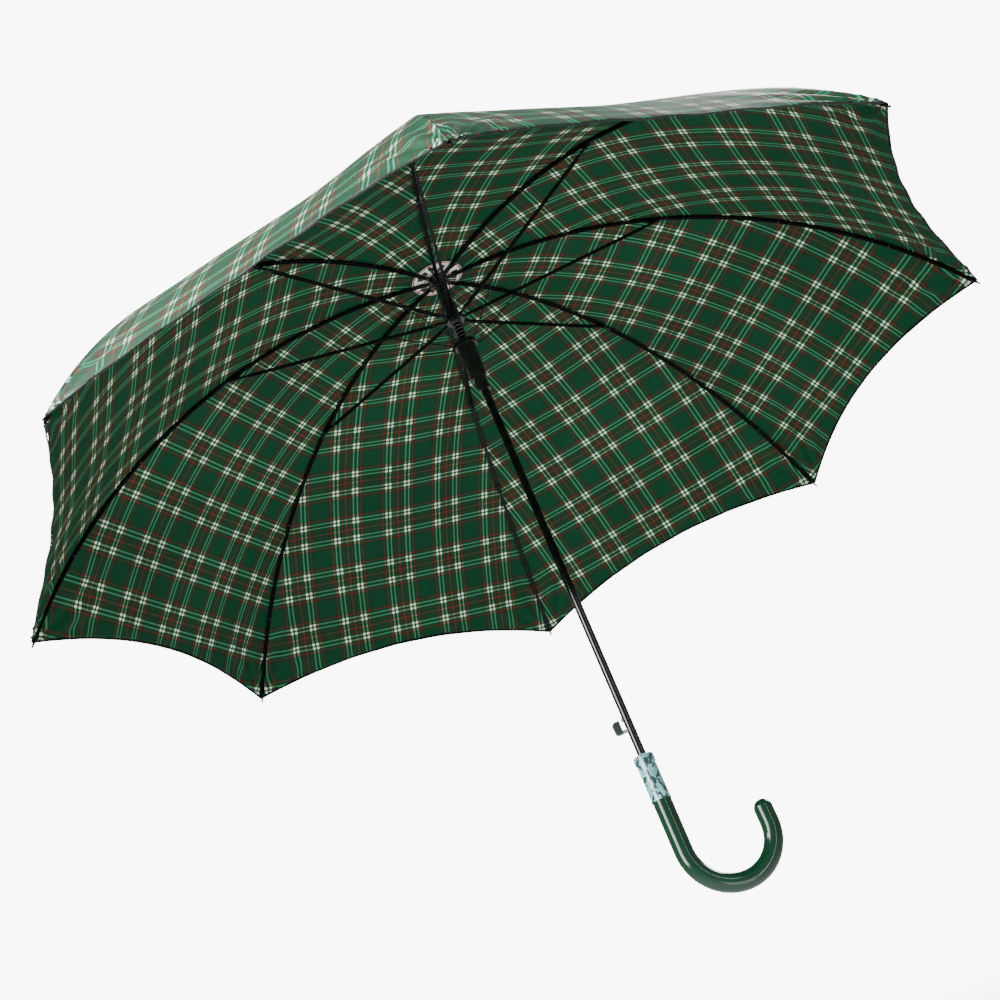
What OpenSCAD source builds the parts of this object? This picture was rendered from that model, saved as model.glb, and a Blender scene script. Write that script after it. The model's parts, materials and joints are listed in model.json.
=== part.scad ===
// Stick umbrella, open. Millimetres. +Z runs up the shaft toward the ferrule, the hook points to +X,
// and the origin is on the shaft's axis where the collar meets the handle.

/* [Shaft and grip] */
// outer radius of the steel shaft
shaft_r = 4; // [3.5:0.1:6]
// radius of the shaft's bore
shaft_bore_r = 3.5; // [3:0.1:5]
// radius of the handle's rod
grip_r = 8.7; // [7:0.1:12]
// radius of the hook's centreline
hook_r = 42; // [35:0.5:55]
// length of the straight part above the hook
grip_straight = 49; // [40:1:90]
// length of the straight end of the hook, before its round end
hook_end = 12; // [5:1:40]
// height of the collar
collar_h = 44; // [30:1:70]
// radius of the collar
collar_r = 8.9; // [8:0.1:12]
// length of the ferrule
ferrule_h = 56; // [30:1:90]

/* [Frame] */
// number of ribs
ribs = 8; // [8:1:8]
// direction of the first rib, measured from the hook
rib_phase = -10; // [-22:1:22]
// height of the rib pivots in the crown
crown_z = 600; // [520:1:700]
// radius of the pivot circles of crown and upper runner
pivot_r = 8.5; // [8:0.1:10]
// length from a rib pivot to its stretcher pin, and of the stretcher
arm = 228; // [200:1:260]
// slope of the stretchers when open
open_slope = 6.5; // [4:0.1:12]
// radius the open ribs are bent to
bend_r = 515; // [450:1:650]
// tangent of a rib at the crown (negative climbs)
t_start = -7.3; // [-10:0.1:0]
// tangent of a rib at the hinge between its two lengths
t_hinge = 19.2; // [18:0.1:22]
// tangent of a rib at the end of its channel
t_end = 56.4; // [50:0.1:60]
// width of the rib channel
rib_w = 3.4; // [2.8:0.1:4.5]
// depth of the rib channel
rib_d = 2.6; // [2:0.1:3.5]
// width of the stretcher channel
strut_w = 3; // [2.4:0.1:4]
// depth of the stretcher channel
strut_d = 2.4; // [2:0.1:3.5]
// wall of both channels
sheet = 0.5; // [0.4:0.05:0.8]
// thickness of the flattened ends
blade = 1.8; // [1.4:0.1:2.2]
// radius of the hinge pins
pin_r = 0.6; // [0.5:0.05:0.8]
// radius of the holes the pins turn in
pin_hole_r = 0.65; // [0.55:0.05:0.85]
// radius of the eyes at the flattened ends
eye_r = 1.6; // [1.3:0.1:2]
// drop from the rib's centreline to the stretcher pin
pin_drop = 4; // [3.5:0.1:6]

/* [Running gear] */
// bore radius of the two runners
runner_bore_r = 4.06; // [4.02:0.01:4.2]
// radius of the barrel of the upper runner and of the crown's neck
barrel_r = 6.5; // [6:0.1:8]
// height of the lower ring, where the thin links are hung
ring_z = 515; // [480:1:530]
// radius at which the thin links are hung
link_pivot_r = 10.5; // [10:0.1:12]
// distance of the thin link's upper end along the stretcher
link_at = 66; // [50:1:90]
// sideways distance of the thin links from the rib's plane
link_side = 2.5; // [2.2:0.1:3]
// wire radius of the thin links
wire_r = 0.6; // [0.4:0.05:0.9]
// turns of the opening spring
spring_turns = 8; // [5:1:12]

/* [Cloth] */
// thickness of the cloth
cloth = 0.4; // [0.2:0.05:0.6]
// gap between the middle of a rib and the cloth, which leaves room for the rib's edges
cloth_gap = 0.95; // [0.8:0.05:1.2]
// depth of the scallop of the hem, as an angle of the rib's arc
scallop = 3.3; // [0:0.1:6]
// the gore that carries the tie strap
strap_gore = 5; // [1:1:8]

/* [Hidden] */
$fn = 48;
bend_x = pivot_r - bend_r * sin(t_start);
bend_z = crown_z - bend_r * cos(t_start);
runner_z = crown_z - 2 * arm * sin(open_slope);
pin_x = pivot_r + arm * cos(open_slope);
pin_z = crown_z - arm * sin(open_slope);
t_pin = 18.3;
t_cloth = -7.66;
crown_top = crown_z + 3.4;
patch_z = crown_top + 0.15;
cloth_r = bend_r + rib_d / 2 + cloth_gap;
cloth_floor = patch_z + 0.35;
cap_z = cloth_floor + cloth + 0.3;
cap_h = 2.5;
ferrule_z = cap_z + cap_h + 0.05;
socket_r = shaft_r + 0.02;
link_x = pivot_r + link_at * cos(open_slope);
link_z = runner_z + link_at * sin(open_slope);
link_len = norm([link_x - link_pivot_r, link_z - ring_z]);
link_slope = atan2(link_z - ring_z, link_x - link_pivot_r);
hook_z = -grip_straight;
button_z = 71;
button_low = -1.5;
button_h = 12.5;
button_w = 6;
catch_z = 84;
slot_low = 66;
slot_high = 96;
steel = [0.1, 0.1, 0.11];
black = [0.05, 0.05, 0.05];
green = [0.03, 0.14, 0.09];
plaid = [0.09, 0.25, 0.16];

// ---- helpers ----
function azimuth(i) = rib_phase + (i - 1) * 360 / ribs;
function arc_x(t, r) = bend_x + r * sin(t);
function arc_z(t, r) = bend_z + r * cos(t);

module at_rib(i) rotate([0, 0, azimuth(i)]) children();

// local frame at a point of the rib's plane: x runs outward and up by the slope, z is across it
module at_point(x, z, slope) translate([x, 0, z]) rotate([0, -slope, 0]) children();

module ring(r, z, h) translate([0, 0, z]) cylinder(r = r, h = h);

// a bar across the rib's plane
module across(r, w) rotate([90, 0, 0]) cylinder(r = r, h = w, center = true, $fn = 24);

module eye(hole) difference() { across(eye_r, blade); across(hole, blade + 1); }

// U section, open toward -y
module u_section(w, d) polygon([
    [-w / 2, -d / 2], [-w / 2, d / 2], [w / 2, d / 2], [w / 2, -d / 2],
    [w / 2 - sheet, -d / 2], [w / 2 - sheet, d / 2 - sheet],
    [-w / 2 + sheet, d / 2 - sheet], [-w / 2 + sheet, -d / 2]]);

// sweep a section along the rib's arc from tangent a to tangent b
module along_arc(a, b) translate([bend_x, 0, bend_z]) rotate([90, 0, 0]) rotate([0, 0, 90 - b])
    rotate_extrude(angle = b - a, $fn = 360) translate([bend_r, 0]) rotate(-90) children();

module rib_channel(a, b) along_arc(a, b) u_section(rib_w, rib_d);
module rib_blade(a, b) along_arc(a, b) square([blade, rib_d - 0.2], center = true);

// ---- shaft and grip ----
module shaft_tube() color(steel) difference() {
    ring(shaft_r, -29.9, ferrule_z + 4.9 + 29.9);
    ring(shaft_bore_r, -29, crown_z + 50);
    translate([-shaft_r - 1, -1.5, slot_low]) cube([shaft_r, 3, slot_high - slot_low]);
}

module ferrule() color(black) translate([0, 0, ferrule_z]) difference() {
    union() {
        ring(5.4, 0, 4);
        translate([0, 0, 4]) cylinder(r1 = 4.9, r2 = 3.1, h = ferrule_h - 16);
        ring(3.7, ferrule_h - 12, 10);
        translate([0, 0, ferrule_h - 2]) cylinder(r1 = 3.7, r2 = 2.6, h = 2);
    }
    ring(socket_r, -1, 6);
}

module outer_cap() color(black) difference() {
    union() {
        ring(13, cap_z, 0.9);
        translate([0, 0, cap_z + 0.9]) cylinder(r1 = 12.4, r2 = 6.5, h = cap_h - 0.9);
    }
    ring(socket_r, crown_top, 8);
}

module crown() color(black) {
    difference() {
        union() { ring(11, crown_z - 3.4, 6.8); ring(barrel_r, crown_z - 13, 10); }
        ring(socket_r, crown_z - 20, 40);
        for (i = [1:ribs]) at_rib(i) translate([6.7, -1.2, crown_z - 5]) cube([8, 2.4, 7.2]);
    }
    for (i = [1:ribs]) at_rib(i) translate([pivot_r, 0, crown_z]) across(pin_r, 3.2);
}

module inner_patch() color([0.85, 0.85, 0.83]) difference() {
    ring(28, patch_z, 0.25);
    ring(shaft_r + 0.3, patch_z - 1, 3);
}

module handle() color(green) difference() {
    union() {
        ring(grip_r, hook_z, grip_straight);
        translate([hook_r, 0, hook_z]) rotate([90, 0, 0]) rotate([0, 0, 180])
            rotate_extrude(angle = 180, $fn = 96) translate([hook_r, 0]) circle(r = grip_r);
        translate([2 * hook_r, 0, hook_z]) cylinder(r = grip_r, h = hook_end);
        translate([2 * hook_r, 0, hook_z + hook_end]) sphere(r = grip_r);
    }
    ring(socket_r, -30, 40);
}

module collar() color([0.02, 0.2, 0.18]) difference() {
    union() {
        ring(collar_r, 0, collar_h - 6);
        for (k = [0:2]) ring(collar_r + 0.7, collar_h - 7 + k * 2.4, 1.5);
        ring(collar_r + 0.1, collar_h - 7, 7);
        ring(collar_r + 0.5, 0, 2);
    }
    ring(socket_r, -1, collar_h + 2);
}

// a thumb block beyond the sleeve of the lower runner, on a stem that goes through the shaft's slot
module button() color([0.12, 0.16, 0.15]) {
    translate([0, 0, button_z]) rotate([90, 0, 0]) linear_extrude(button_w, center = true)
        translate([0, button_low]) polygon([[-8.6, 0], [-8.6, button_h], [-14.2, button_h - 0.6],
                                            [-15.2, button_h - 2], [-14.6, 1.6], [-13.4, 0]]);
    translate([-8.8, -1.1, button_z - 1.6]) cube([6.2, 2.2, 3.2]);
}

module catch() color([0.6, 0.6, 0.6]) {
    difference() {
        translate([-3.1, -1.1, slot_low - 6]) cube([0.5, 2.2, 36]);
        translate([-4, -1.2, button_z - 1.7]) cube([2, 2.4, 3.4]);
    }
    translate([0, 0.9, catch_z]) rotate([90, 0, 0]) linear_extrude(1.8)
        polygon([[-2.9, -4], [-5.3, -3.4], [-5.3, -1.4], [-2.9, 5]]);
}

// ---- running gear ----
module upper_runner() color(black) {
    difference() {
        union() { ring(9.7, runner_z - 3, 6.5); ring(barrel_r, runner_z, crown_z - 17 - runner_z); }
        ring(runner_bore_r, runner_z - 10, 60);
        for (i = [1:ribs]) at_rib(i) translate([6.7, -1.2, runner_z - 2]) cube([8, 2.4, 8]);
    }
    for (i = [1:ribs]) at_rib(i) translate([pivot_r, 0, runner_z]) across(pin_r, 3.2);
}

module lower_runner() color(black) {
    difference() {
        union() {
            ring(6.4, ring_z - 58, 18);
            translate([0, 0, ring_z - 43]) cylinder(r1 = 8.2, r2 = 9.9, h = 36);
            ring(9.9, ring_z - 7, 5);
            ring(12.2, ring_z - 2.3, 4.6);
        }
        ring(runner_bore_r, ring_z - 60, 80);
        ring(6.2, ring_z - 7.5, 20);
        translate([-8, -1.4, ring_z - 53.6]) cube([5, 2.8, 10.5]);
        for (i = [1:ribs]) at_rib(i)
            translate([8.9, link_side - 0.8, ring_z - 1.7]) cube([6, 1.6, 6]);
    }
    for (i = [1:ribs]) at_rib(i)
        translate([link_pivot_r, link_side, ring_z]) across(0.45, 2.4);
}

// coil swept as a ring of points along a helix
module spring() color([0.35, 0.35, 0.36]) {
    turns = spring_turns; steps = 20; sides = 6; wire = 0.5; mean = 5.2;
    low = ring_z - 6.9; high = runner_z - 3.6; total = turns * steps;
    pts = [for (k = [0:total]) for (s = [0:sides - 1])
        let (a = k * 360 / steps, b = s * 360 / sides, r = mean + wire * cos(b))
        [r * cos(a), r * sin(a), low + (high - low) * k / total + wire * sin(b)]];
    faces = concat(
        [[for (s = [0:sides - 1]) s]],
        [[for (s = [0:sides - 1]) total * sides + sides - 1 - s]],
        [for (k = [0:total - 1]) for (s = [0:sides - 1])
            let (n = (s + 1) % sides)
            [k * sides + s, (k + 1) * sides + s, (k + 1) * sides + n, k * sides + n]]);
    polyhedron(pts, faces, convexity = 6);
}

// ---- frame ----
// both cheeks of the joint, drawn in the rib's plane: x along the rib, y away from the shaft
module cheek() {
    polygon([[-1.6, -pin_drop], [1.6, -pin_drop], [8.1, -1.7], [8.1, 1.4], [-6, 1.2], [-6, -1.2]]);
    translate([0, -pin_drop]) circle(r = eye_r, $fn = 24);
    translate([8.1, -0.06]) circle(r = eye_r, $fn = 24);
}

module rib_inner(i) color(steel) at_rib(i) {
    at_point(pivot_r, crown_z, 0) eye(pin_hole_r);
    difference() {
        rib_blade(t_start + 0.12, t_start + 1);
        translate([pivot_r, 0, crown_z]) across(pin_hole_r, 4);
    }
    rib_channel(t_start + 0.62, t_pin - 0.5);
    at_point(arc_x(t_pin, bend_r), arc_z(t_pin, bend_r), -t_pin) rotate([90, 0, 0]) {
        for (side = [-1.9, 1.05]) translate([0, 0, side]) linear_extrude(0.85) cheek();
        translate([8.1, -0.06, -1.2]) cylinder(r = pin_r, h = 2.4, $fn = 24);
    }
    translate([pin_x, 0, pin_z]) across(pin_r, 2.4);
}

module rib_outer(i) color(steel) at_rib(i) {
    hx = arc_x(t_hinge, bend_r); hz = arc_z(t_hinge, bend_r);
    difference() {
        union() {
            translate([hx, 0, hz]) across(eye_r, blade);
            rib_blade(t_hinge, t_hinge + 1);
        }
        translate([hx, 0, hz]) across(pin_hole_r, 4);
    }
    rib_channel(t_hinge + 0.38, t_end);
    at_point(arc_x(t_end, bend_r), arc_z(t_end, bend_r), -t_end) {
        translate([-3, 0, 0]) rotate([0, 90, 0]) cylinder(r = 1.45, h = 4, $fn = 24);
        translate([1, 0, 0]) rotate([0, 90, 0]) cylinder(r1 = 1.45, r2 = 0.8, h = 5, $fn = 24);
        translate([6.2, 0, 0]) sphere(r = 1.2, $fn = 24);
    }
}

module stretcher(i) color(steel) at_rib(i) at_point(pivot_r, runner_z, open_slope) {
    for (x = [0, arm]) translate([x, 0, 0]) difference() {
        union() {
            across(eye_r, blade);
            translate([x == 0 ? 0 : -13, -blade / 2, -1.1]) cube([13, blade, 2.2]);
        }
        across(pin_hole_r, 4);
    }
    translate([6, 0, 0]) rotate([90, 0, 90]) linear_extrude(arm - 17.5) u_section(strut_w, strut_d);
}

module link(i) color(steel) at_rib(i) translate([0, link_side, 0])
    at_point(link_pivot_r, ring_z, link_slope) {
        for (x = [0, link_len]) translate([x, 0, 0]) difference() {
            across(1.25, 1.2);
            across(0.5, 3);
        }
        translate([1, 0, 0]) rotate([0, 90, 0]) cylinder(r = wire_r, h = link_len - 2, $fn = 16);
        translate([link_len, 0.55, 0]) across(0.95, 0.5);
    }

// ---- cloth ----
// a point of the cloth between rib i and the next one: t along the rib, v across from 0 to 1
function cloth_point(i, t, v, up) =
    let (r = arc_x(t, cloth_r + up), low = t < 0 ? cloth_floor + up : 0,
         z = max(arc_z(t, cloth_r + up), low),
         a = azimuth(i), b = azimuth(i + 1))
    [r * ((1 - v) * cos(a) + v * cos(b)), r * ((1 - v) * sin(a) + v * sin(b)), z];

function hem(t_rim, v) = t_rim - scallop * 4 * v * (1 - v);

module cloth_sheet(i, t0, t1, v0, v1, low, high, nt, nv, cut) {
    row = nv + 1; side = (nt + 1) * row;
    pts = [for (up = [low, high]) for (j = [0:nt]) for (k = [0:nv])
        let (v = v0 + (v1 - v0) * k / nv, rim = hem(t1, v) * cut + t1 * (1 - cut))
        cloth_point(i, t0 + (rim - t0) * j / nt, v, up)];
    faces = concat(
        [for (j = [0:nt - 1]) for (k = [0:nv - 1]) for (f = [0, 1])
            let (a = j * row + k, b = a + row) f == 0 ? [a, b, b + 1] : [a, b + 1, a + 1]],
        [for (j = [0:nt - 1]) for (k = [0:nv - 1]) for (f = [0, 1])
            let (a = side + j * row + k, b = a + row) f == 0 ? [a, b + 1, b] : [a, a + 1, b + 1]],
        [for (j = [0:nt - 1]) for (f = [0, 1]) let (a = j * row, b = a + row)
            f == 0 ? [a, a + side, b + side] : [a, b + side, b]],
        [for (j = [0:nt - 1]) for (f = [0, 1]) let (a = j * row + nv, b = a + row)
            f == 0 ? [a, b + side, a + side] : [a, b, b + side]],
        [for (k = [0:nv - 1]) for (f = [0, 1]) let (a = k, b = k + 1)
            f == 0 ? [a, b, b + side] : [a, b + side, a + side]],
        [for (k = [0:nv - 1]) for (f = [0, 1]) let (a = nt * row + k, b = a + 1)
            f == 0 ? [a, b + side, b] : [a, a + side, b + side]]);
    polyhedron(pts, faces, convexity = 4);
}

module gore(i) color(plaid)
    cloth_sheet(i, t_cloth, t_end + 0.3, 0.0005, 0.9995, 0, cloth, 26, 10, 1);

module tie_strap() color(plaid)
    cloth_sheet(strap_gore, 38, 52.4, 0.47, 0.53, cloth + 0.1, cloth + 0.6, 8, 2, 0);

module strap_snap() color([0.7, 0.7, 0.7])
    translate(cloth_point(strap_gore, 39.6, 0.5, cloth + 1)) rotate([0, 0, azimuth(strap_gore) + 22.5])
        rotate([0, 41.8, 0]) cylinder(r = 4.5, h = 1.6, $fn = 32);

shaft_tube();
ferrule();
outer_cap();
crown();
inner_patch();
handle();
collar();
button();
catch();
upper_runner();
spring();
lower_runner();
tie_strap();
strap_snap();
for (i = [1:8]) {
    rib_inner(i);
    rib_outer(i);
    stretcher(i);
    link(i);
    gore(i);
}
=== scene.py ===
"""The looks of an open stick umbrella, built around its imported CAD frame. Metres, +Z up the shaft."""

import json
import math

import bmesh
import bpy
import numpy as np
from mathutils import Euler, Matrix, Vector

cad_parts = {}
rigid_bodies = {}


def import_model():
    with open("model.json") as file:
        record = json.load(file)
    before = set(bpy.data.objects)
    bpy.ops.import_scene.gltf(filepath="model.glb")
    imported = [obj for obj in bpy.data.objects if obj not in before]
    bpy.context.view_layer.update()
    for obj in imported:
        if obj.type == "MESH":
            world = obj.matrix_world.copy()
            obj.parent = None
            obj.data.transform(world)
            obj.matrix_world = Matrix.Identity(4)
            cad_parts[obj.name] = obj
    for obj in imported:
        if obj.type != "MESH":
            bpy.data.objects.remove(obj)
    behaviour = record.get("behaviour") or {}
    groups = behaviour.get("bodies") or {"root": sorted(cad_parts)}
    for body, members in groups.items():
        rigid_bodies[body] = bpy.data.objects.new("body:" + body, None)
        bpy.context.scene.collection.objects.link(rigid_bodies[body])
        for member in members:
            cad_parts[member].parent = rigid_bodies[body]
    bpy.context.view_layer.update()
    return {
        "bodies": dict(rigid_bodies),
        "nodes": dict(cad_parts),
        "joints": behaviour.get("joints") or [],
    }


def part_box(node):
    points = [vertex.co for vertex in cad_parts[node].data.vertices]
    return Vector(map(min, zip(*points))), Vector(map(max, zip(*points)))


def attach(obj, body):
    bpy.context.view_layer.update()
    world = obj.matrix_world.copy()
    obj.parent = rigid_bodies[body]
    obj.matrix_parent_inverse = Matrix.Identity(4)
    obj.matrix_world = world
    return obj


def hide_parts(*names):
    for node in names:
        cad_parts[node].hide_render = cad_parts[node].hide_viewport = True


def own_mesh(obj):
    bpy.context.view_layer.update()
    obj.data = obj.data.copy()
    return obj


MM = 0.001

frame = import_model()

# ---- driving dimensions ----
JOINTS = {j["name"]: j for j in frame["joints"]}
RIBS = 8
GORE_ANGLE = 2 * math.pi / RIBS
PIVOT = Vector(JOINTS["canopy_fold"]["pos_m"])
PIVOT_R = math.hypot(PIVOT.x, PIVOT.y)
RIB_PHASE = math.atan2(PIVOT.y, PIVOT.x)
FOLD_RANGE = math.radians(JOINTS["canopy_fold"]["range_deg"][1])
BEND_R = 515 * MM  # radius the open ribs are bent to
T_START = math.radians(-7.3)  # tangent of a rib at the crown
T_HINGE = math.radians(19.2)  # tangent where the two lengths of a rib meet
T_INNER = math.radians(-7.66)  # where the cloth starts, under the cap
T_RIM = math.radians(56.7)  # where the cloth ends, at a rib's tip
SCALLOP = math.radians(3.3)
CLOTH_LIFT = 2.4 * MM  # from a rib's centreline to the cloth over it
CLOTH_THICK = 0.25 * MM
CENTRE_X = PIVOT_R - BEND_R * math.sin(T_START)
CENTRE_Z = PIVOT.z - BEND_R * math.cos(T_START)
CLOTH_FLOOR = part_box("inner_patch")[1][2] + 0.25 * MM
STRAP_GORE = 5  # the gore that carries the tie strap
SAG = 4 * MM  # how far the middle of a gore is drawn in
LAYER = 1.15 * MM  # pitch of the furled cloth, for each rib it passes
MAX_WRAP = math.radians(300)
FOLD_SHARE = 0.038  # share of the half that winds back which the fold itself takes

# the check: one repeat, and where its lines lie, measured from the middle of the repeat
REPEAT = 65 * MM
PAIR_AT = 12.0 * MM  # each pair of pale lines
LINE_AT = 2.45 * MM  # a line from the middle of its pair
RED_AT = 6.9 * MM  # a red line from the middle of a pair

# sizes of small things
WEAVE_PITCH = 0.45 * MM
STITCH_PITCH = 3.2 * MM
PATCH_WEDGES = 12.0
BUTTON_BLOCK = 6.55 * MM  # depth of the thumb block, beyond which its stem shows
THREAD_AT = (8.0, 33.0, 46.0)  # tangents of a rib's thread ties, in degrees
FLOOR_Z = -1.3


# ---- materials ----
class Nodes:
    """Short calls for building one material's nodes."""

    def __init__(self, name):
        self.material = bpy.data.materials.new(name)
        self.material.use_nodes = True
        self.tree = self.material.node_tree
        self.shader = self.tree.nodes["Principled BSDF"]

    def add(self, kind, **settings):
        node = self.tree.nodes.new(kind)
        for key, value in settings.items():
            setattr(node, key, value)
        return node

    def link(self, a, b):
        self.tree.links.new(a, b)

    def set(self, **values):
        for key, value in values.items():
            socket = self.shader.inputs[key.replace("_", " ")]
            socket.default_value = value

    def put(self, socket, value):
        if isinstance(value, bpy.types.NodeSocket):
            self.link(value, socket)
        else:
            socket.default_value = value

    def math(self, operation, a, b=0.0):
        node = self.add("ShaderNodeMath", operation=operation)
        self.put(node.inputs[0], a)
        self.put(node.inputs[1], b)
        return node.outputs[0]

    def mix(self, factor, a, b):
        node = self.add("ShaderNodeMix", data_type="RGBA")
        self.put(node.inputs["Factor"], factor)
        self.put(node.inputs[6], a)
        self.put(node.inputs[7], b)
        return node.outputs[2]

    def ramp(self, value, low, high, to_low, to_high):
        node = self.add("ShaderNodeMapRange", interpolation_type="SMOOTHSTEP")
        for key, v in zip(("Value", "From Min", "From Max", "To Min", "To Max"), (value, low, high, to_low, to_high)):
            self.put(node.inputs[key], v)
        return node.outputs[0]

    def noise(self, scale, detail=3.0, vector=None):
        node = self.add("ShaderNodeTexNoise")
        node.inputs["Scale"].default_value = scale
        node.inputs["Detail"].default_value = detail
        self.link(vector or self.coordinates("Object"), node.inputs["Vector"])
        return node.outputs[0]

    def coordinates(self, kind):
        return self.add("ShaderNodeTexCoord").outputs[kind]

    def split(self, vector):
        node = self.add("ShaderNodeSeparateXYZ")
        self.link(vector, node.inputs[0])
        return node.outputs

    def bump(self, height, strength, distance, under=None):
        node = self.add("ShaderNodeBump")
        node.inputs["Strength"].default_value = strength
        node.inputs["Distance"].default_value = distance
        self.link(height, node.inputs["Height"])
        if under is not None:
            self.link(under, node.inputs["Normal"])
        return node.outputs[0]


def rgb(r, g, b):
    """An sRGB colour from 0 to 255 as a linear one."""

    def linear(c):
        c = c / 255
        return c / 12.92 if c <= 0.04045 else ((c + 0.055) / 1.055) ** 2.4

    return (linear(r), linear(g), linear(b), 1.0)


def stripe(n, offset, at, half, soft):
    """1 on a stripe, falling to 0: offset is the distance from the middle of the repeat."""
    distance = n.math("ABSOLUTE", n.math("SUBTRACT", offset, at))
    return n.ramp(distance, half - soft, half + soft, 1.0, 0.0)


def threads(n, along):
    """The stripes of one thread direction: its pale lines, the wider lines that show where pale crosses pale,
    its red lines and its brown bands."""
    turn = n.math("FRACT", n.math("ADD", n.math("DIVIDE", along, REPEAT), 20.5))
    offset = n.math("ABSOLUTE", n.math("MULTIPLY", n.math("SUBTRACT", turn, 0.5), REPEAT))

    def pair(half, soft):
        low = stripe(n, offset, PAIR_AT - LINE_AT, half, soft)
        return n.math("MAXIMUM", low, stripe(n, offset, PAIR_AT + LINE_AT, half, soft))

    inner_red = n.math("MULTIPLY", stripe(n, offset, PAIR_AT - RED_AT, 0.6 * MM, 0.3 * MM), 0.4)
    outer_red = stripe(n, offset, PAIR_AT + RED_AT, 0.8 * MM, 0.3 * MM)
    red = n.math("MAXIMUM", n.math("MAXIMUM", inner_red, outer_red), stripe(n, offset, 0.0, 1.1 * MM, 0.3 * MM))
    brown = n.math(
        "MAXIMUM",
        stripe(n, offset, PAIR_AT - RED_AT - 0.8 * MM, 2.6 * MM, 0.8 * MM),
        stripe(n, offset, PAIR_AT + RED_AT + 1.4 * MM, 2.8 * MM, 0.8 * MM),
    )
    return pair(0.8 * MM, 0.4 * MM), pair(1.5 * MM, 0.3 * MM), red, brown


def plaid(name, painted_light_gain, pale, roughness, specular):
    """The woven check. It reads the flat coordinates of each gore, so it turns at each seam as cut cloth does. The gain
    scales all its colours: below 1 it is painted shade, above 1 it is painted light.
    """
    n = Nodes(name)
    x, y, _ = n.split(n.coordinates("UV"))
    warp_pale, warp_cream, warp_red, warp_brown = threads(n, x)
    weft_pale, weft_cream, weft_red, weft_brown = threads(n, y)

    def both(a, b):
        return n.math("MULTIPLY", a, b)

    def either(a, b):
        return n.math("MAXIMUM", a, b)

    # scales each colour by the gain: painted shade below 1, painted light above 1
    def tone(r, g, b, share=1.0):
        return tuple(min(1.0, c * (1 + (painted_light_gain - 1) * share)) for c in rgb(r, g, b)[:3]) + (1.0,)

    def lay(under, amount, where, colour):
        return n.mix(n.math("MULTIPLY", where, amount), under, colour)

    colour = lay(tone(0, 76, 46), 0.26, n.math("ADD", warp_brown, weft_brown), tone(46, 36, 28))
    colour = lay(colour, 0.3, either(warp_red, weft_red), tone(136, 26, 30))
    on_brown = either(both(warp_red, weft_brown), both(warp_brown, weft_red))
    colour = lay(colour, 0.22, on_brown, tone(150, 24, 32))
    colour = lay(colour, 0.5, both(warp_red, weft_red), tone(170, 26, 36))
    colour = lay(colour, 0.44, either(warp_pale, weft_pale), tone(*pale))
    pink = either(both(warp_pale, weft_red), both(warp_red, weft_pale))
    colour = lay(colour, 0.6, pink, tone(220, 160, 140))
    colour = lay(colour, 0.95, both(warp_cream, weft_cream), tone(250, 255, 230, 0.6))

    # fading and dye variation, then the dark hem binding
    blotch = n.ramp(n.noise(9.0, 4.0), 0.3, 0.7, 0.9, 1.08)
    shade = n.add("ShaderNodeMix", data_type="RGBA", blend_type="MULTIPLY")
    shade.inputs["Factor"].default_value = 1.0
    n.link(colour, shade.inputs[6])
    grey = n.add("ShaderNodeCombineColor")
    for socket in grey.inputs:
        n.link(blotch, socket)
    n.link(grey.outputs[0], shade.inputs[7])
    edge = n.add("ShaderNodeAttribute", attribute_name="hem").outputs["Fac"]
    seam = n.add("ShaderNodeAttribute", attribute_name="seam").outputs["Fac"]
    binding = either(n.ramp(edge, 1.6 * MM, 2.6 * MM, 1.0, 0.0), n.ramp(seam, 0.3 * MM, 0.9 * MM, 0.8, 0.0))

    def stitch(offset, at, along):
        gap = n.math("GREATER_THAN", n.math("FRACT", n.math("MULTIPLY", along, 1 / STITCH_PITCH)), 0.3)
        return n.math("MULTIPLY", stripe(n, offset, at, 0.35 * MM, 0.15 * MM), gap)

    stitches = either(stitch(edge, 5.0 * MM, x), stitch(seam, 2.6 * MM, y))
    colour = n.mix(n.math("MULTIPLY", stitches, 0.6), shade.outputs[2], tone(10, 22, 16))
    colour = n.mix(n.math("MULTIPLY", binding, 0.9), colour, tone(8, 14, 11))
    n.link(colour, n.shader.inputs["Base Color"])

    # twill weave, stepped one thread a row
    warp = n.math("SINE", n.math("MULTIPLY", x, 2 * math.pi / WEAVE_PITCH))
    weft = n.math("SINE", n.math("MULTIPLY", y, 2 * math.pi / WEAVE_PITCH))
    twill = n.math("SINE", n.math("MULTIPLY", n.math("ADD", x, y), math.pi / WEAVE_PITCH))
    weave = n.math("ADD", n.math("MULTIPLY", n.math("ADD", warp, weft), 0.3), n.math("MULTIPLY", twill, 0.5))
    weave = n.math("SUBTRACT", weave, n.math("MULTIPLY", stitches, 1.5))
    fine = n.bump(weave, 0.25, 0.06 * MM)
    creases = n.bump(n.noise(26.0, 5.0), 0.18, 1.2 * MM, fine)
    n.link(creases, n.shader.inputs["Normal"])
    rough = n.ramp(n.noise(180.0, 2.0), 0.2, 0.8, roughness - 0.06, roughness + 0.08)
    n.link(rough, n.shader.inputs["Roughness"])
    n.set(Specular_IOR_Level=specular)
    return n.material


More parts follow.
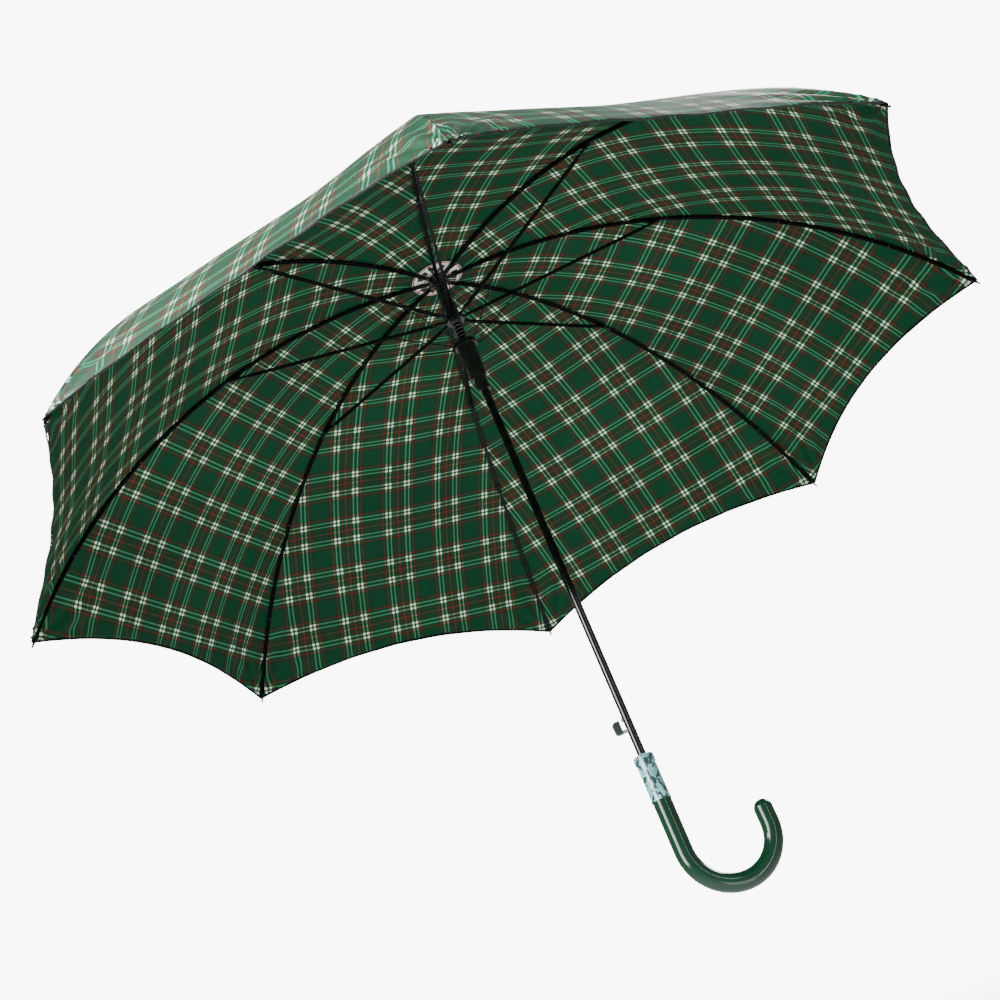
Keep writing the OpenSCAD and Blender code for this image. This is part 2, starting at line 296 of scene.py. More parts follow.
def lacquer(name, colour, roughness, grain, bump, coat=0.0, metallic=0.0, specular=0.5, worn=None):
    """A hard finish: fine grain in its roughness, small hollows in its surface and, where asked, lighter wear."""
    n = Nodes(name)
    if worn is None:
        deeper = tuple(0.6 * c for c in colour[:3]) + (1,)
        tint = n.mix(n.ramp(n.noise(grain * 0.2), 0.35, 0.65, 0.0, 0.35), colour, deeper)
    else:
        tint = n.mix(n.ramp(n.noise(grain * 0.35, 6.0), 0.6, 0.74, 0.0, 0.7), colour, worn)
    n.link(tint, n.shader.inputs["Base Color"])
    n.link(n.ramp(n.noise(grain, 4.0), 0.25, 0.75, roughness * 0.75, roughness * 1.3), n.shader.inputs["Roughness"])
    n.link(n.bump(n.noise(grain * 2.2, 3.0), 0.2, bump), n.shader.inputs["Normal"])
    n.set(Coat_Weight=coat, Coat_Roughness=0.06, Metallic=metallic, Specular_IOR_Level=specular)
    return n.material


def scale_skin():
    """The collar: small pale teal scales, with dark ones in clusters along a lattice of slanting lines."""
    n = Nodes("scale_skin")
    x, y, z = n.split(n.coordinates("Object"))
    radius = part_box("collar")[1][0]
    flat = n.add("ShaderNodeCombineXYZ")
    n.link(n.math("MULTIPLY", n.math("ARCTAN2", y, x), radius), flat.inputs[0])
    n.link(n.math("MULTIPLY", z, 0.8), flat.inputs[1])
    cells = n.add("ShaderNodeTexVoronoi", feature="F1")
    cells.inputs["Scale"].default_value = 560.0
    cells.inputs["Randomness"].default_value = 0.55
    n.link(flat.outputs[0], cells.inputs["Vector"])
    edges = n.add("ShaderNodeTexVoronoi", feature="DISTANCE_TO_EDGE")
    edges.inputs["Scale"].default_value = 560.0
    edges.inputs["Randomness"].default_value = 0.55
    n.link(flat.outputs[0], edges.inputs["Vector"])
    u, w, _ = n.split(cells.outputs["Position"])
    lattice = 2 * math.pi / (14 * MM)
    one = n.math("ABSOLUTE", n.math("COSINE", n.math("MULTIPLY", n.math("ADD", u, w), lattice / 2)))
    two = n.math("ABSOLUTE", n.math("COSINE", n.math("MULTIPLY", n.math("SUBTRACT", u, w), lattice / 2)))
    line = n.math("MAXIMUM", one, two)
    patchy = n.noise(230.0, 2.0, cells.outputs["Position"])
    chance = n.math("ADD", line, n.math("MULTIPLY", n.math("SUBTRACT", patchy, 0.5), 1.8))
    dark = n.math("GREATER_THAN", chance, 0.9)
    groove = n.ramp(edges.outputs["Distance"], 0.02, 0.09, 1.0, 0.0)
    pale = n.mix(n.ramp(n.noise(60.0), 0.35, 0.65, 0.0, 1.0), rgb(84, 152, 150), rgb(122, 180, 180))
    colour = n.mix(n.math("MULTIPLY", groove, 0.35), pale, rgb(46, 96, 92))
    colour = n.mix(n.math("MULTIPLY", dark, 0.92), colour, rgb(4, 22, 21))
    n.link(colour, n.shader.inputs["Base Color"])
    n.link(n.bump(n.math("SUBTRACT", 1.0, groove), 0.35, 0.12 * MM), n.shader.inputs["Normal"])
    n.link(n.ramp(n.noise(300.0), 0.3, 0.7, 0.16, 0.28), n.shader.inputs["Roughness"])
    n.set(Coat_Weight=0.7, Coat_Roughness=0.05)
    return n.material


def two_tone_button():
    """The thumb block in dark grey green, on a pale stem."""
    n = Nodes("button_plastic")
    x, _, _ = n.split(n.coordinates("Object"))
    stem = n.math("GREATER_THAN", x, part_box("button")[0][0] + BUTTON_BLOCK)
    colour = n.mix(n.ramp(n.noise(150.0), 0.35, 0.65, 0.0, 0.4), rgb(34, 56, 52), rgb(22, 40, 37))
    n.link(n.mix(stem, colour, rgb(196, 204, 200)), n.shader.inputs["Base Color"])
    n.link(n.ramp(n.noise(380.0, 4.0), 0.25, 0.75, 0.24, 0.42), n.shader.inputs["Roughness"])
    n.link(n.bump(n.noise(800.0), 0.2, 0.03 * MM), n.shader.inputs["Normal"])
    n.set(Coat_Weight=0.2, Coat_Roughness=0.06)
    return n.material


def printed_patch():
    """The round patch under the cloth: a pale weave with a plain ring of dark wedges and two thin red rings."""
    n = Nodes("printed_patch")
    x, y, _ = n.split(n.coordinates("Object"))
    radius = n.math("SQRT", n.math("ADD", n.math("MULTIPLY", x, x), n.math("MULTIPLY", y, y)))
    turn = n.math("DIVIDE", n.math("ARCTAN2", y, x), 2 * math.pi)
    sector = n.math("FRACT", n.math("MULTIPLY", n.math("ADD", turn, 1.0), PATCH_WEDGES))
    wedge = n.math("ABSOLUTE", n.math("SUBTRACT", sector, 0.5))
    bands = stripe(n, radius, 19.5 * MM, 3.6 * MM, 0.25 * MM)
    dark = n.math("MULTIPLY", n.ramp(wedge, 0.2, 0.24, 1.0, 0.0), bands)
    outline = stripe(n, radius, 12.6 * MM, 0.5 * MM, 0.15 * MM)
    outer_red = stripe(n, radius, 26.6 * MM, 0.8 * MM, 0.2 * MM)
    inner_red = stripe(n, radius, 14.2 * MM, 0.35 * MM, 0.15 * MM)
    red = n.math("MAXIMUM", outer_red, inner_red)
    colour = n.mix(n.math("MAXIMUM", dark, outline), rgb(222, 226, 222), rgb(22, 24, 24))
    colour = n.mix(red, colour, rgb(150, 34, 40))
    n.link(colour, n.shader.inputs["Base Color"])
    pitch = 2 * math.pi / (0.4 * MM)
    warp = n.math("SINE", n.math("MULTIPLY", x, pitch))
    weft = n.math("SINE", n.math("MULTIPLY", y, pitch))
    weave = n.math("MULTIPLY", warp, weft)
    n.link(n.bump(weave, 0.3, 0.05 * MM), n.shader.inputs["Normal"])
    n.set(Roughness=0.6, Sheen_Weight=0.1)
    return n.material


# ---- the canopy's geometry ----
def rib_azimuth(i):
    return RIB_PHASE + (i - 1) * GORE_ANGLE


def arc(t, lift):
    """Radius and height of the cloth over a rib, at tangent t."""
    r = CENTRE_X + (BEND_R + lift) * np.sin(t)
    z = CENTRE_Z + (BEND_R + lift) * np.cos(t)
    floor = np.where(t < 0, CLOTH_FLOOR + lift - CLOTH_LIFT, -1.0)
    return r, np.maximum(z, floor)


def smooth(x):
    x = np.clip(x, 0, 1)
    return x * x * (3 - 2 * x)


def on_cloth(i, t, v, normal=0.0, side=0.0):
    """Points of the cloth between rib i and the next: t along the rib, v across from 0 to 1."""
    r, z = arc(t, CLOTH_LIFT + normal)
    a, b = rib_azimuth(i), rib_azimuth(i + 1)
    x = r * ((1 - v) * math.cos(a) + v * math.cos(b))
    y = r * ((1 - v) * math.sin(a) + v * math.sin(b))
    middle = (a + b) / 2
    x = x - side * math.sin(middle)
    y = y + side * math.cos(middle)
    reach = smooth((t - math.radians(4)) / math.radians(30))
    sag = SAG * np.sin(math.pi * v) ** 2 * reach
    inward = -sag * np.sin(t)
    return np.stack([x + inward * math.cos(middle), y + inward * math.sin(middle), z - sag * np.cos(t)], -1)


def furl(i, t, v, normal, side):
    """Where a point lies when the canopy is furled: its azimuth, and its lift off the ribs."""
    r, _ = arc(t, CLOTH_LIFT)
    half_width = r * math.sin(GORE_ANGLE / 2)
    closed_r = 0.022 + 0.015 * smooth((t - T_HINGE) / math.radians(16))
    wrap = np.maximum(np.minimum(half_width / closed_r, MAX_WRAP), GORE_ANGLE)
    drawn_over = 8 * MM * np.exp(-(((t - T_HINGE) / math.radians(9.0)) ** 2))
    out = np.clip(v / 0.5, 0, 1)
    back = np.clip((v - 0.5) / 0.5, 0, 1)
    returned = np.clip((back - FOLD_SHARE) / (1 - FOLD_SHARE), 0, 1)
    turned = np.where(v <= 0.5, wrap * out, wrap + (GORE_ANGLE - wrap) * returned)
    outer_layer = LAYER * turned / GORE_ANGLE
    inner_layer = outer_layer - LAYER + 0.5 * LAYER * smooth((1 - back) / 0.15)
    lift = np.where(v <= 0.5, outer_layer, outer_layer + (inner_layer - outer_layer) * smooth(back / FOLD_SHARE))
    bare = smooth(np.minimum(v, 1 - v) / 0.06)
    lift = np.maximum(lift, 0.0) + drawn_over * bare
    return rib_azimuth(i) + turned + side / 0.045, lift + normal


def give(mesh, name, values, kind="FLOAT"):
    attribute = mesh.attributes.new(name, kind, "POINT")
    key = "value" if kind == "FLOAT" else "vector"
    attribute.data.foreach_set(key, np.ascontiguousarray(values, np.float32).ravel())


def smooth_mesh(name, points, faces):
    mesh = bpy.data.meshes.new(name)
    mesh.from_pydata(points.tolist(), [], faces)
    for polygon in mesh.polygons:
        polygon.use_smooth = True
    return mesh


def lay_flat(mesh, x, y):
    layer = mesh.uv_layers.new(name="UVMap")
    corner = np.array([loop.vertex_index for loop in mesh.loops])
    layer.data.foreach_set("uv", np.stack([x.ravel()[corner], y.ravel()[corner]], -1).astype(np.float32).ravel())


def cloth_mesh(name, i, points, t, v, normal, side, faces, along=None, proud=1.0):
    """A mesh of cloth, with what the folding group needs to place each point.
    Furled, it keeps the share proud of its height over the ribs."""
    mesh = smooth_mesh(name, points, faces)
    r, z = arc(t, CLOTH_LIFT)
    a = rib_azimuth(i)
    azimuth, lift = furl(i, t, v, normal * proud, side)
    give(mesh, "over_rib", np.stack([r * math.cos(a), r * math.sin(a), z], -1), "FLOAT_VECTOR")
    give(mesh, "past_hinge", smooth((t - T_HINGE) / math.radians(2.4) + 0.5))
    give(mesh, "across", v)
    give(mesh, "furl_azimuth", azimuth)
    give(mesh, "furl_lift", lift)
    give(mesh, "furl_drop", np.zeros_like(t) if along is None else -along)
    return mesh


class Fields:
    """Short calls for building a geometry nodes group that moves points."""

    def __init__(self, name, objects):
        self.group = bpy.data.node_groups.new(name, "GeometryNodeTree")
        self.group.interface.new_socket("Geometry", in_out="INPUT", socket_type="NodeSocketGeometry")
        for label in objects:
            self.group.interface.new_socket(label, in_out="INPUT", socket_type="NodeSocketObject")
        self.group.interface.new_socket("Geometry", in_out="OUTPUT", socket_type="NodeSocketGeometry")
        self.source, self.target = self.new("NodeGroupInput"), self.new("NodeGroupOutput")

    def new(self, kind):
        return self.group.nodes.new(kind)

    def put(self, socket, value):
        if isinstance(value, bpy.types.NodeSocket):
            self.group.links.new(value, socket)
        else:
            socket.default_value = value

    def math(self, operation, a, b=0.0):
        node = self.new("ShaderNodeMath")
        node.operation = operation
        self.put(node.inputs[0], a)
        self.put(node.inputs[1], b)
        return node.outputs[0]

    def stored(self, name, kind="FLOAT"):
        node = self.new("GeometryNodeInputNamedAttribute")
        node.data_type = kind
        node.inputs["Name"].default_value = name
        return node.outputs["Attribute"]

    def placed(self, label):
        node = self.new("GeometryNodeObjectInfo")
        node.transform_space = "ORIGINAL"
        self.put(node.inputs["Object"], self.source.outputs[label])
        return node.outputs["Transform"]

    def carry(self, matrix, vector, kind="FunctionNodeTransformPoint"):
        node = self.new(kind)
        self.put(node.inputs[0], vector)
        self.put(node.inputs[1], matrix)
        return node.outputs[0]

    def blend(self, factor, a, b):
        node = self.new("ShaderNodeMix")
        node.data_type = "VECTOR"
        self.put(node.inputs[0], factor)
        self.put(node.inputs[4], a)
        self.put(node.inputs[5], b)
        return node.outputs[1]

    def ramp(self, value, low, high):
        node = self.new("ShaderNodeMapRange")
        node.interpolation_type = "SMOOTHSTEP"
        self.put(node.inputs["Value"], value)
        node.inputs["From Min"].default_value, node.inputs["From Max"].default_value = low, high
        return node.outputs[0]

    def split(self, vector):
        node = self.new("ShaderNodeSeparateXYZ")
        self.put(node.inputs[0], vector)
        return node.outputs

    def join(self, x, y, z):
        node = self.new("ShaderNodeCombineXYZ")
        for socket, value in zip(node.inputs, (x, y, z)):
            self.put(socket, value)
        return node.outputs[0]

    def length(self, x, y):
        return self.math("SQRT", self.math("ADD", self.math("MULTIPLY", x, x), self.math("MULTIPLY", y, y)))

    def fold(self, rib):
        """How far that rib has folded, in radians."""
        up = self.carry(rib, (0, 0, 1), "FunctionNodeTransformDirection")
        return self.math("ARCCOSINE", self.split(up)[2])

    def here(self):
        return self.new("GeometryNodeInputPosition").outputs[0]

    def finish(self, position):
        move = self.new("GeometryNodeSetPosition")
        self.put(move.inputs["Geometry"], self.source.outputs["Geometry"])
        self.put(move.inputs["Position"], position)
        self.put(self.target.inputs[0], move.outputs[0])
        return self.group


def folding_group():
    """Carries the cloth: drawn between two ribs while it opens, wound round the ribs when it is shut.
    Each point follows its place over rib a and rib b, on their inner or outer lengths, as those bodies move."""
    f = Fields("folding_cloth", ("Rib A", "Tip A", "Rib B", "Tip B"))
    hinge = f.stored("past_hinge")
    rib_a, tip_a, rib_b, tip_b = (f.placed(label) for label in ("Rib A", "Tip A", "Rib B", "Tip B"))
    on_a = f.blend(hinge, f.carry(rib_a, f.here()), f.carry(tip_a, f.here()))
    on_b = f.blend(hinge, f.carry(rib_b, f.here()), f.carry(tip_b, f.here()))
    spread = f.blend(f.stored("across"), on_a, on_b)

    over = f.stored("over_rib", "FLOAT_VECTOR")
    x, y, z = f.split(f.blend(hinge, f.carry(rib_a, over), f.carry(tip_a, over)))
    radius = f.math("ADD", f.length(x, y), f.stored("furl_lift"))
    azimuth = f.stored("furl_azimuth")
    wound = f.join(
        f.math("MULTIPLY", radius, f.math("COSINE", azimuth)),
        f.math("MULTIPLY", radius, f.math("SINE", azimuth)),
        f.math("ADD", z, f.stored("furl_drop")),
    )
    shut = f.ramp(f.fold(rib_a), FOLD_RANGE * 0.45, FOLD_RANGE * 0.97)
    back = f.new("FunctionNodeInvertMatrix")
    f.put(back.inputs[0], rib_a)
    return f.finish(f.carry(back.outputs[0], f.blend(shut, spread, wound)))


def turning_down_group():
    """Turns a disc down all round the ribs' pivot circle, as far as the rib has folded."""
    f = Fields("turning_down", ("Rib",))
    x, y, z = f.split(f.here())
    radius = f.length(x, y)
    angle = f.math("MULTIPLY", f.fold(f.placed("Rib")), f.ramp(radius, PIVOT_R * 0.6, PIVOT_R * 1.2))
    out, up = f.math("SUBTRACT", radius, PIVOT_R), f.math("SUBTRACT", z, PIVOT.z)
    sine, cosine = f.math("SINE", angle), f.math("COSINE", angle)
    turned_out = f.math("ADD", f.math("MULTIPLY", out, cosine), f.math("MULTIPLY", up, sine))
    turned_up = f.math("SUBTRACT", f.math("MULTIPLY", up, cosine), f.math("MULTIPLY", out, sine))
    grow = f.math("DIVIDE", f.math("ADD", turned_out, PIVOT_R), radius)
    return f.finish(f.join(f.math("MULTIPLY", x, grow), f.math("MULTIPLY", y, grow), f.math("ADD", turned_up, PIVOT.z)))


FOLDING = folding_group()
SOCKETS = {s.name: s.identifier for s in FOLDING.interface.items_tree if s.in_out == "INPUT"}


def follow(obj, i):
    """obj, a piece of cloth between rib i and the next, folds with those two ribs."""
    after = i % RIBS + 1
    modifier = obj.modifiers.new("fold", "NODES")
    modifier.node_group = FOLDING
    for label, body in (
        ("Rib A", f"rib_{i}"),
        ("Tip A", f"rib_tip_{i}"),
        ("Rib B", f"rib_{after}"),
        ("Tip B", f"rib_tip_{after}"),
    ):
        modifier[SOCKETS[label]] = frame["bodies"][body]


def grid_faces(rows, columns):
    corners = [j * columns + k for j in range(rows - 1) for k in range(columns - 1)]
    return [(a, a + columns, a + columns + 1, a + 1) for a in corners]


def tube_faces(rings, sides):
    """The walls between closed rings of points."""
    return [
        (j * sides + k, (j + 1) * sides + k, (j + 1) * sides + (k + 1) % sides, j * sides + (k + 1) % sides)
        for j in range(rings - 1)
        for k in range(sides)
    ]


def end_faces(rings, sides):
    return [tuple(range(sides)), tuple(range(rings * sides - 1, (rings - 1) * sides - 1, -1))]


def place(name, mesh, materials):
    obj = bpy.data.objects.new(name, mesh)
    bpy.context.scene.collection.objects.link(obj)
    for material in materials:
        obj.data.materials.append(material)
    return obj


def rim(v):
    return T_RIM - SCALLOP * 4 * v * (1 - v)


def gore(i, inside, outside):
    """One panel of the canopy, cut on the straight grain, drawn between two ribs, with puckers along its seams."""
    rows, columns = 88, 61
    spread = np.linspace(0, 1, columns)
    spread = 0.5 - 0.5 * np.cos(math.pi * spread) * (0.75 + 0.25 * np.cos(math.pi * spread) ** 2)
    spread[0], spread[-1] = 0.0, 1.0
    down = np.linspace(0, 1, rows)
    v, s = np.meshgrid(spread, down)
    t = T_INNER + (rim(v) - T_INNER) * s
    r, _ = arc(t, CLOTH_LIFT)
    seam = r * np.minimum(v, 1 - v) * 2 * math.sin(GORE_ANGLE / 2)
    length = (BEND_R + CLOTH_LIFT) * (t - T_INNER)
    phase = i * 1.7
    away = smooth(seam / (5 * MM))
    pucker = 0.5 * MM * np.sin(length * 2 * math.pi / (15 * MM) + phase) * np.exp(-seam / (9 * MM)) * away
    to_rim = (BEND_R + CLOTH_LIFT) * (rim(v) - t)
    tip_reach = np.exp(-((seam / (60 * MM)) ** 2) - (to_rim / (90 * MM)) ** 2)
    fan = 2.4 * MM * tip_reach * away * np.sin(np.arctan2(seam, to_rim + 12 * MM) * 12 + phase)
    drift = 1.3 * MM * np.sin(math.pi * v) * np.sin(length * 17 + phase) * np.sin(v * 9 + 2 * phase)
    hem_ease = 0.8 * MM * np.exp(-to_rim / (14 * MM)) * np.sin(v * 40 + phase) * np.sin(math.pi * v)
    ruffle = pucker + fan + drift + hem_ease
    points = on_cloth(i, t, v, ruffle).reshape(-1, 3)
    mesh = cloth_mesh(
        f"gore_cloth_{i}", i, points, t.ravel(), v.ravel(), ruffle.ravel(), 0.0, grid_faces(rows, columns), proud=0.15
    )
    give(mesh, "hem", to_rim.ravel())
    give(mesh, "seam", seam.ravel())
    lay_flat(mesh, (v - 0.5) * 2 * r * math.sin(GORE_ANGLE / 2), length)
    obj = place(f"gore_cloth_{i}", mesh, [inside, outside])
    follow(obj, i)
    shell = obj.modifiers.new("thickness", "SOLIDIFY")
    shell.thickness = CLOTH_THICK
    shell.offset = 0.0
    # the shell faces take the second copy of the check: the two faces of the cloth differ in brightness by painted
    # light and painted shade
    shell.material_offset = 1
    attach(obj, f"rib_{i}")
    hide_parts(f"gore_{i}")


def hem_roll(i, material):
    """The rolled edge of one gore: a thin tube along its scalloped rim."""
    steps, sides, radius = 81, 8, 0.8 * MM
    v = np.repeat(np.linspace(0.004, 0.996, steps), sides)
    angle = np.tile(np.arange(sides) * 2 * math.pi / sides, steps)
    ease = 0.8 * MM * np.sin(v * 40 + i * 1.7) * np.sin(math.pi * v)
    normal = radius * np.sin(angle) + ease
    along = radius * np.cos(angle)
    t = rim(v) + along / BEND_R
    points = on_cloth(i, t, v, normal)
    faces = tube_faces(steps, sides) + end_faces(steps, sides)
    mesh = cloth_mesh(f"hem_{i}", i, points, rim(v), v, normal, 0.0, faces, along, proud=0.2)
    obj = place(f"hem_{i}", mesh, [material])
    follow(obj, i)
    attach(obj, f"rib_{i}")


def strap(material, dark):
    """The tie strap: a doubled strip of the same cloth, lying on the outside of one gore, with sewn edges."""
    i = STRAP_GORE
    rows, columns = 40, 9
    width, low, high = 20 * MM, math.radians(38), math.radians(52.8)
    side = np.linspace(-width / 2, width / 2, columns)
    tangent = np.linspace(low, high, rows)
    across, t = np.meshgrid(side, tangent)
    v = np.full_like(t, 0.5)
    rounded = 0.55 * MM * (1 - (np.abs(across) / (width / 2)) ** 6)
    normal = 0.9 * MM + rounded + 0.5 * MM * np.sin(t * 60) ** 2
    mesh = cloth_mesh(
        "tie_strap_cloth", i, on_cloth(i, t, v, normal, across).reshape(-1, 3),
        t.ravel(), v.ravel(), normal.ravel(), across.ravel(), grid_faces(rows, columns),
    )
    give(mesh, "hem", (width / 2 - np.abs(across)).ravel() + 2.7 * MM)
    give(mesh, "seam", np.full(len(mesh.vertices), 0.1))
    lay_flat(mesh, across, BEND_R * (t - low))
    # its first material is the brightened outside copy of the check, painted light; its second is the darkened inside
    # copy, painted shade
    obj = place("tie_strap_cloth", mesh, [material, dark])
    follow(obj, i)
    shell = obj.modifiers.new("thickness", "SOLIDIFY")
    shell.thickness = 1.0 * MM
    shell.offset = 0.0
    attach(obj, f"rib_{i}")
    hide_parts("tie_strap")


def snap(material):
    """The snap at the strap's end: a turned disc with a rolled rim and a hollow in its middle."""
    i, sides = STRAP_GORE, 32
    profile = [(0, 0.9), (1.4, 0.9), (1.9, 1.5), (2.6, 1.6), (3.6, 1.5), (4.2, 1.1), (4.4, 0.5), (4.3, 0.0)]
    radius = np.repeat([p[0] * MM for p in profile], sides)
    height = np.repeat([p[1] * MM for p in profile], sides)
    angle = np.tile(np.arange(sides) * 2 * math.pi / sides, len(profile))
    side, along = radius * np.cos(angle), radius * np.sin(angle)
    t = math.radians(39.8) + along / BEND_R
    v = np.full_like(t, 0.5)
    normal = 2.2 * MM + height
    mesh = cloth_mesh(
        "snap_disc", i, on_cloth(i, t, v, normal, side), t, v, normal, side, tube_faces(len(profile), sides)
    )
    obj = place("snap_disc", mesh, [material])
    follow(obj, i)
    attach(obj, f"rib_{i}")
    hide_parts("strap_snap")


def patch(material):
    """The fabric disc between the ribs and the cloth at the crown. It turns down all round as the canopy shuts."""
    low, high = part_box("inner_patch")
    rings, sides, hole = 15, 96, 4.4 * MM
    radius = np.repeat(np.linspace(hole, high[0], rings), sides)
    angle = np.tile(np.arange(sides) * 2 * math.pi / sides, rings)
    ribs_under = np.cos(RIBS * (angle - RIB_PHASE)) * (radius - hole) / high[0] * 0.15 * MM
    height = (low[2] + high[2]) / 2 + ribs_under - 0.03 * MM
    points = np.stack([radius * np.cos(angle), radius * np.sin(angle), height], -1)
    obj = place("patch_cloth", smooth_mesh("patch_cloth", points, tube_faces(rings, sides)), [material])
    modifier = obj.modifiers.new("fold", "NODES")
    modifier.node_group = turning_down_group()
    socket = next(s for s in modifier.node_group.interface.items_tree if s.name == "Rib")
    modifier[socket.identifier] = frame["bodies"]["rib_1"]
    shell = obj.modifiers.new("thickness", "SOLIDIFY")
    shell.thickness = 0.22 * MM
    shell.offset = 0.0
    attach(obj, "shaft")
    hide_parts("inner_patch")


def thread_tie(name, i, tangent, body, material):
    """A few turns of thread that hold the cloth to a rib: a wound loop round the channel."""
    a = rib_azimuth(i)
    turns, steps = 4, 16
    outward = Vector((math.cos(a), math.sin(a), 0))
    across = Vector((-math.sin(a), math.cos(a), 0))
    along = outward * math.cos(tangent) - Vector((0, 0, 1)) * math.sin(tangent)
    normal = outward * math.sin(tangent) + Vector((0, 0, 1)) * math.cos(tangent)
    centre = outward * (CENTRE_X + BEND_R * math.sin(tangent)) + Vector((0, 0, CENTRE_Z + BEND_R * math.cos(tangent)))
    centre += normal * 0.35 * MM
    curve = bpy.data.curves.new(name, "CURVE")
    curve.dimensions = "3D"
    curve.bevel_depth = 0.22 * MM
    spline = curve.splines.new("POLY")
    spline.points.add(turns * steps)
    for k in range(turns * steps + 1):
        angle = 2 * math.pi * k / steps
        wide = max(-1.0, min(1.0, 1.35 * math.cos(angle))) * 2.1 * MM
        high = max(-1.0, min(1.0, 1.35 * math.sin(angle))) * 1.95 * MM
        point = centre + across * wide + normal * high + along * (k / steps - turns / 2) * 0.5 * MM
        spline.points[k].co = (*point, 1)
    obj = bpy.data.objects.new(name, curve)
    bpy.context.scene.collection.objects.link(obj)
    curve.materials.append(material)
    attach(obj, body)


def coil(material):
    """The opening spring, round wire with closed ends.
    It hangs from the upper runner."""
    low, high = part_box("spring")
    wire, closed, turns = 0.5 * MM, 1.0, 10.0
    mean = high[0] - wire
    foot, head = low[2] + wire, high[2] - wire
    steps, sides = 240, 12
    turn = np.linspace(0, turns, steps + 1)
    at_end = (turn < closed) | (turn > turns - closed)
    pitch = np.where(at_end, 2.1 * wire, (head - foot - 4.2 * wire) / (turns - 2 * closed))
    rise = foot + np.concatenate([[0], np.cumsum((pitch[1:] + pitch[:-1]) / 2 * (turns / steps))])
    rise = foot + (rise - foot) * (head - foot) / (rise[-1] - foot)
    a = np.repeat(turn * 2 * math.pi, sides)
    b = np.tile(np.arange(sides) * 2 * math.pi / sides, steps + 1)
    r = mean + wire * np.cos(b)
    points = np.stack([r * np.cos(a), r * np.sin(a), np.repeat(rise, sides) + wire * np.sin(b)], -1)
    faces = tube_faces(steps + 1, sides) + end_faces(steps + 1, sides)
    obj = place("coil_spring", smooth_mesh("coil_spring", points, faces), [material])
    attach(obj, "upper_runner")
    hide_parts("spring")
    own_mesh(obj)


# ---- finishes of the CAD nodes ----
def finish_node(name, material, bevel=0.0):
    node = frame["nodes"][name]
    node.data.materials.clear()
    node.data.materials.append(material)
    if bevel:
        edge = node.modifiers.new("soft_edges", "BEVEL")
        edge.width = bevel
        edge.segments = 2
        edge.limit_method = "ANGLE"
        edge.angle_limit = math.radians(40)
        edge.harden_normals = True


def dress():
    """Every material, the cloth, and the finish of each CAD node that stays."""
    # two copies of one check: the inside one darkened, with a duller pale, as painted shade; the outside one
    # brightened, with a more saturated pale, as painted light
    inside = plaid("check_inside_painted_shade", 0.56, (118, 204, 154), 0.7, 0.1)
    outside = plaid("check_outside_painted_light", 1.2, (92, 214, 166), 0.5, 0.3)
    binding = lacquer("hem_binding", rgb(9, 20, 15), 0.7, 900.0, 0.1 * MM)
    thread = lacquer("black_thread", rgb(14, 16, 15), 0.75, 1500.0, 0.05 * MM)
    shaft = lacquer("black_shaft", rgb(2, 3, 3), 0.1, 420.0, 0.002 * MM, coat=0.05, worn=rgb(5, 6, 6))
    steel = lacquer("black_steel", rgb(3, 4, 4), 0.3, 420.0, 0.008 * MM, specular=0.16, worn=rgb(9, 10, 10))
    plastic = lacquer("black_plastic", rgb(14, 15, 15), 0.34, 520.0, 0.03 * MM, coat=0.2)
    wire = lacquer("spring_wire", rgb(98, 98, 100), 0.3, 700.0, 0.01 * MM, metallic=1.0, worn=rgb(150, 150, 150))
    bright = lacquer("bright_steel", rgb(190, 190, 188), 0.24, 600.0, 0.01 * MM, metallic=1.0, worn=rgb(140, 138, 132))
    green = lacquer("green_handle", rgb(7, 44, 26), 0.14, 60.0, 0.003 * MM, coat=0.2, specular=0.35)
    button = two_tone_button()
    ferrule = lacquer("ferrule_plastic", rgb(16, 17, 17), 0.28, 300.0, 0.03 * MM, coat=0.4)
    for i in range(1, RIBS + 1):
        gore(i, outside, inside)
        hem_roll(i, binding)
        for k, degrees in enumerate(THREAD_AT):
            tangent = math.radians(degrees)
            body = f"rib_{i}" if tangent < T_HINGE else f"rib_tip_{i}"
            thread_tie(f"thread_{i}_{k + 1}", i, tangent, body, thread)
        for name in ("rib_inner", "rib_outer", "stretcher", "link"):
            finish_node(f"{name}_{i}", steel)
    strap(outside, inside)
    snap(bright)
    finish_node("shaft_tube", shaft)
    finish_node("ferrule", ferrule, 0.3 * MM)
    finish_node("outer_cap", plastic, 0.2 * MM)
    finish_node("crown", plastic, 0.2 * MM)
    patch(printed_patch())
    finish_node("handle", green)
    finish_node("collar", scale_skin(), 0.25 * MM)
    finish_node("button", button, 0.5 * MM)
    finish_node("catch", bright, 0.1 * MM)
    finish_node("upper_runner", plastic, 0.2 * MM)
    finish_node("lower_runner", plastic, 0.3 * MM)
    coil(wire)


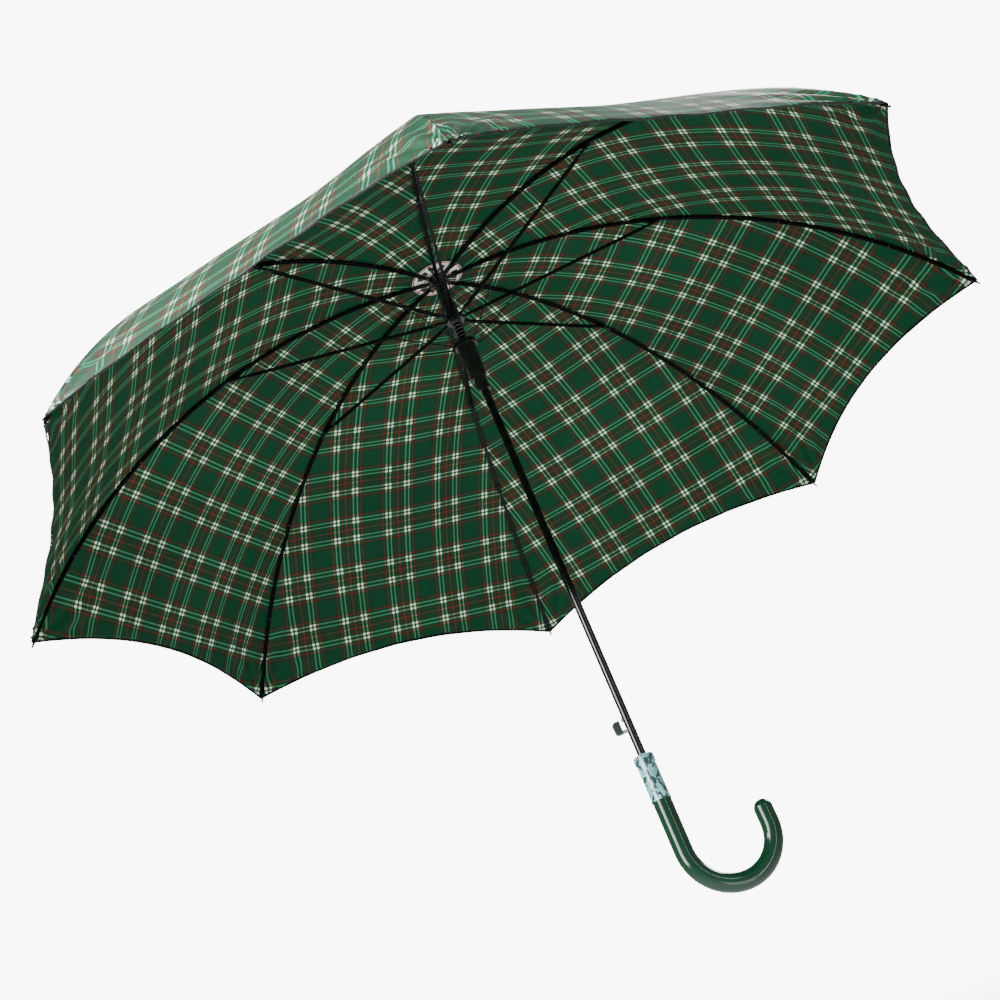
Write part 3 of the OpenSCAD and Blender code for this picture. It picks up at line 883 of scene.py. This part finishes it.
# ---- stage ----
def stage():
    """A pale floor far below, an even white surround and soft lights."""
    floor_mesh = bpy.data.meshes.new("floor")
    shape = bmesh.new()
    bmesh.ops.create_grid(shape, x_segments=1, y_segments=1, size=40)
    shape.to_mesh(floor_mesh)
    shape.free()
    floor = bpy.data.objects.new("floor", floor_mesh)
    floor.location = (0, 0, FLOOR_Z)
    bpy.context.scene.collection.objects.link(floor)
    pale = Nodes("pale_floor")
    pale.set(Base_Color=(0.86, 0.86, 0.86, 1), Roughness=0.8, Emission_Color=(1, 1, 1, 1), Emission_Strength=0.25)
    floor_mesh.materials.append(pale.material)

    world = bpy.data.worlds.new("white")
    world.use_nodes = True
    tree = world.node_tree
    ambient = tree.nodes["Background"]
    ambient.inputs[0].default_value = (1, 1, 1, 1)
    ambient.inputs[1].default_value = 0.4
    backdrop = tree.nodes.new("ShaderNodeBackground")
    backdrop.inputs[0].default_value = (1, 1, 1, 1)
    height = tree.nodes.new("ShaderNodeSeparateXYZ")
    tree.links.new(tree.nodes.new("ShaderNodeTexCoord").outputs["Generated"], height.inputs[0])
    haze = tree.nodes.new("ShaderNodeMapRange")
    haze.interpolation_type = "SMOOTHSTEP"
    for key, value in (("From Min", 0.0), ("From Max", 0.07), ("To Min", 0.85), ("To Max", 9.0)):
        haze.inputs[key].default_value = value
    tree.links.new(height.outputs[2], haze.inputs["Value"])
    tree.links.new(haze.outputs[0], backdrop.inputs[1])
    seen = tree.nodes.new("ShaderNodeLightPath")
    choose = tree.nodes.new("ShaderNodeMixShader")
    tree.links.new(seen.outputs["Is Camera Ray"], choose.inputs[0])
    tree.links.new(ambient.outputs[0], choose.inputs[1])
    tree.links.new(backdrop.outputs[0], choose.inputs[2])
    tree.links.new(choose.outputs[0], tree.nodes["World Output"].inputs[0])
    bpy.context.scene.world = world

    middle = Vector((0, 0, 0.35))
    for name, where, size, power in (
        ("key", (-1.9, -0.4, 2.0), (1.2, 1.2), 110),
        ("far_side", (1.9, 1.1, 1.9), (1.3, 1.3), 120),
        ("left_strip", (-1.8, -0.9, 0.35), (0.36, 1.7), 24),
        ("gloss_panel", (-1.6, -1.1, 0.6), (1.0, 1.9), 105),
        ("right_strip", (0.95, -1.85, 0.3), (0.1, 2.2), 8),
        ("fill", (0.4, -1.8, -0.9), (0.9, 0.9), 8),
    ):
        light = bpy.data.lights.new(name, "AREA")
        light.shape = "RECTANGLE"
        light.size, light.size_y = size
        light.energy = power
        lamp = bpy.data.objects.new(name, light)
        lamp.location = where
        lamp.rotation_mode = "QUATERNION"
        lamp.rotation_quaternion = (Vector(where) - middle).to_track_quat("Z", "Y")
        bpy.context.scene.collection.objects.link(lamp)
        if name == "gloss_panel":
            # it lights these pieces only, to draw the long streaks on them
            glossy = bpy.data.collections.new("glossy_pieces")
            for piece in ("shaft_tube", "handle", "collar"):
                glossy.objects.link(frame["nodes"][piece])
            lamp.light_linking.receiver_collection = glossy


def camera():
    """Below the canopy, looking up past the handle."""
    data = bpy.data.cameras.new("camera")
    data.lens = 56.64
    data.sensor_width = 36
    data.clip_start, data.clip_end = 0.02, 100
    obj = bpy.data.objects.new("camera", data)
    obj.location = (-0.3700, -1.3562, -0.3235)
    obj.rotation_euler = Euler([math.radians(a) for a in (116.989, 20.521, -3.937)], "XYZ")
    bpy.context.scene.collection.objects.link(obj)
    bpy.context.scene.camera = obj


camera()
stage()
dress()
